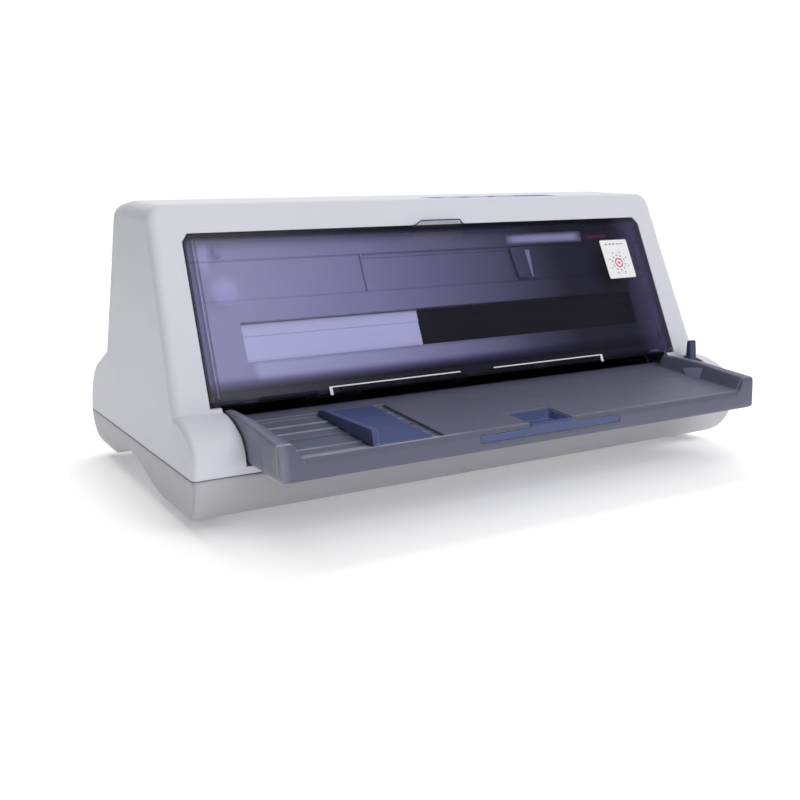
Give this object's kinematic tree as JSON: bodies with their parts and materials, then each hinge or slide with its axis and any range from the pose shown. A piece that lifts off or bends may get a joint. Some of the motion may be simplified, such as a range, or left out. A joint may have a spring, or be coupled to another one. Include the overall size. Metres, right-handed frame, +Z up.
{
  "type": "dot matrix printer",
  "caption": "Desktop flatbed dot matrix printer with a sloped tinted hinged front cover, a grey front paper tray with a sliding edge guide and a pull-out support.",
  "frame": {"origin": "centre of the overall box on the surface the feet stand on", "axes": "+X to the operator's right, across the machine; +Y from the operator to the back; +Z up"},
  "size_m": [0.384, 0.2956, 0.1772],
  "materials": {
    "case_white": "fine moulded texture",
    "case_grey": "fine moulded texture",
    "tray_grey": "fine moulded texture",
    "guide_blue": "smooth moulded",
    "cover_smoke": "clear tinted plastic, glossy",
    "inner_dark": "moulded",
    "ribbon_black": "smooth moulded",
    "bright_plate": "satin",
    "inner_black": "moulded",
    "ribbon_cloth": "woven, inked",
    "frame_steel": "zinc plated sheet",
    "shaft_steel": "ground",
    "pinch_black": "smooth moulded",
    "bush_brass": "turned",
    "head_alloy": "cast, black painted fins",
    "motor_steel": "smooth",
    "gear_white": "moulded",
    "belt_rubber": "moulded",
    "roller_rubber": "ground",
    "foot_rubber": "moulded",
    "board_green": "coated board",
    "port_black": "moulded",
    "panel_blue": "printed film",
    "key_grey": "moulded",
    "lamp_green": "clear tinted"
  },
  "bodies": {
    "case": {"upper_case": "case_white", "connector_bezels": "case_white", "lower_case": "case_grey", "case_screws": "shaft_steel", "rubber_feet": "foot_rubber", "paper_tray": "tray_grey", "lever_pin": "shaft_steel", "inner_panel": "inner_dark", "entry_guide": "inner_dark", "ribbon_cartridge": "ribbon_black", "head_cover_plate": "bright_plate", "ribbon_cradle": "inner_black", "ink_ribbon": "ribbon_cloth", "right_side_frame": "frame_steel", "left_side_frame": "frame_steel", "chassis_plate": "frame_steel", "guide_shaft": "shaft_steel", "carriage_rail": "frame_steel", "carriage_motor": "motor_steel", "motor_bracket": "frame_steel", "idler_bracket": "frame_steel", "timing_belt": "belt_rubber", "feed_motor": "motor_steel", "paper_guide": "inner_black", "main_board": "board_green", "power_board": "board_green", "power_inlet": "port_black", "interface_ports": "port_black", "switch_housing": "port_black", "control_panel": "panel_blue", "indicator_lamps": "lamp_green", "panel_board": "board_green"},
    "cover": {"front_cover": "cover_smoke"},
    "edge_guide_slider": {"edge_guide": "guide_blue"},
    "support_slider": {"paper_support": "guide_blue"},
    "paper_lever": {"lever": "guide_blue"},
    "key_a": {"panel_key_1": "key_grey"},
    "key_b": {"panel_key_2": "key_grey"},
    "key_c": {"panel_key_3": "key_grey"},
    "rocker": {"switch_rocker": "port_black"},
    "knob": {"ribbon_knob": "ribbon_black"},
    "head_carriage": {"carriage": "inner_black", "carriage_bushes": "bush_brass", "print_head": "head_alloy"},
    "belt_drive": {"drive_pulley": "gear_white"},
    "belt_idler": {"idler_pulley": "gear_white"},
    "platen": {"platen_shaft": "shaft_steel", "platen_roller": "roller_rubber", "platen_gear": "gear_white"},
    "front_feed": {"front_feed_shaft": "shaft_steel", "front_feed_rollers": "roller_rubber", "front_feed_gear": "gear_white"},
    "rear_feed": {"rear_feed_shaft": "shaft_steel", "rear_feed_rollers": "roller_rubber", "rear_feed_gear": "gear_white"},
    "front_idler": {"front_idler_gear": "gear_white"},
    "rear_idler": {"rear_idler_gear": "gear_white"},
    "pinion": {"motor_pinion": "bush_brass"},
    "front_pinch": {"front_pinch_rollers": "pinch_black"},
    "rear_pinch": {"rear_pinch_rollers": "pinch_black"}
  },
  "joints": [
    {"name": "cover_hinge", "type": "hinge", "parent": "case", "child": "cover", "pos_m": [0, -0.06536, 0.06466], "axis": [1, 0, 0], "range_deg": [0, 95]},
    {"name": "guide_slide", "type": "slide", "parent": "case", "child": "edge_guide_slider", "axis": [1, 0, 0], "range_m": [-0.037, 0.005]},
    {"name": "support_slide", "type": "slide", "parent": "case", "child": "support_slider", "axis": [0, -1, 0], "range_m": [0, 0.04]},
    {"name": "lever_tilt", "type": "hinge", "parent": "case", "child": "paper_lever", "pos_m": [0.175, -0.078, 0.044], "axis": [1, 0, 0], "range_deg": [-11, 15]},
    {"name": "key_a_press", "type": "slide", "parent": "case", "child": "key_a", "axis": [0, 0, -1], "range_m": [0, 0.0006], "stiffness_N_per_m": 300},
    {"name": "key_b_press", "type": "slide", "parent": "case", "child": "key_b", "axis": [0, 0, -1], "range_m": [0, 0.0006], "stiffness_N_per_m": 300},
    {"name": "key_c_press", "type": "slide", "parent": "case", "child": "key_c", "axis": [0, 0, -1], "range_m": [0, 0.0006], "stiffness_N_per_m": 300},
    {"name": "rocker_tilt", "type": "hinge", "parent": "case", "child": "rocker", "pos_m": [0.1855, 0.073, 0.0475], "axis": [0, 0, 1], "range_deg": [0, 20]},
    {"name": "knob_turn", "type": "hinge", "parent": "case", "child": "knob", "pos_m": [0, -0.02145, 0.09785], "axis": [0, 0.384, 0.9233], "continuous": true},
    {"name": "carriage_slide", "type": "slide", "parent": "case", "child": "head_carriage", "axis": [1, 0, 0], "range_m": [-0.115, 0.115]},
    {"name": "drive_pulley_spin", "type": "hinge", "parent": "case", "child": "belt_drive", "pos_m": [0.144, 0.07, 0.074], "axis": [0, 0, 1], "range_deg": [-945, 945]},
    {"name": "idler_pulley_spin", "type": "hinge", "parent": "case", "child": "belt_idler", "pos_m": [-0.144, 0.07, 0.074], "axis": [0, 0, 1], "range_deg": [-945, 945]},
    {"name": "platen_spin", "type": "hinge", "parent": "case", "child": "platen", "pos_m": [0, 0.01, 0.0402], "axis": [1, 0, 0], "continuous": true},
    {"name": "front_feed_spin", "type": "hinge", "parent": "case", "child": "front_feed", "pos_m": [0, -0.025, 0.045], "axis": [1, 0, 0], "continuous": true},
    {"name": "rear_feed_spin", "type": "hinge", "parent": "case", "child": "rear_feed", "pos_m": [0, 0.045, 0.0435], "axis": [1, 0, 0], "continuous": true},
    {"name": "front_idler_spin", "type": "hinge", "parent": "case", "child": "front_idler", "pos_m": [0, -0.00971, 0.0265], "axis": [1, 0, 0], "continuous": true},
    {"name": "rear_idler_spin", "type": "hinge", "parent": "case", "child": "rear_idler", "pos_m": [0, 0.02903, 0.02558], "axis": [1, 0, 0], "continuous": true},
    {"name": "pinion_spin", "type": "hinge", "parent": "case", "child": "pinion", "pos_m": [0, 0.05914, 0.02936], "axis": [1, 0, 0], "continuous": true},
    {"name": "front_pinch_spin", "type": "hinge", "parent": "case", "child": "front_pinch", "pos_m": [0, -0.025, 0.0573], "axis": [1, 0, 0], "continuous": true},
    {"name": "rear_pinch_spin", "type": "hinge", "parent": "case", "child": "rear_pinch", "pos_m": [0, 0.045, 0.0558], "axis": [1, 0, 0], "continuous": true}
  ],
  "couplings": [
    {"joint": "drive_pulley_spin", "follows": "carriage_slide", "rad_per_m": 142.86},
    {"joint": "idler_pulley_spin", "follows": "carriage_slide", "rad_per_m": 142.86},
    {"joint": "front_feed_spin", "follows": "platen_spin", "ratio": 1},
    {"joint": "rear_feed_spin", "follows": "platen_spin", "ratio": 1},
    {"joint": "front_idler_spin", "follows": "platen_spin", "ratio": -1.1818},
    {"joint": "rear_idler_spin", "follows": "platen_spin", "ratio": -1.1818},
    {"joint": "pinion_spin", "follows": "platen_spin", "ratio": -1.8571},
    {"joint": "front_pinch_spin", "follows": "platen_spin", "ratio": -1.4},
    {"joint": "rear_pinch_spin", "follows": "platen_spin", "ratio": -1.4}
  ]
}
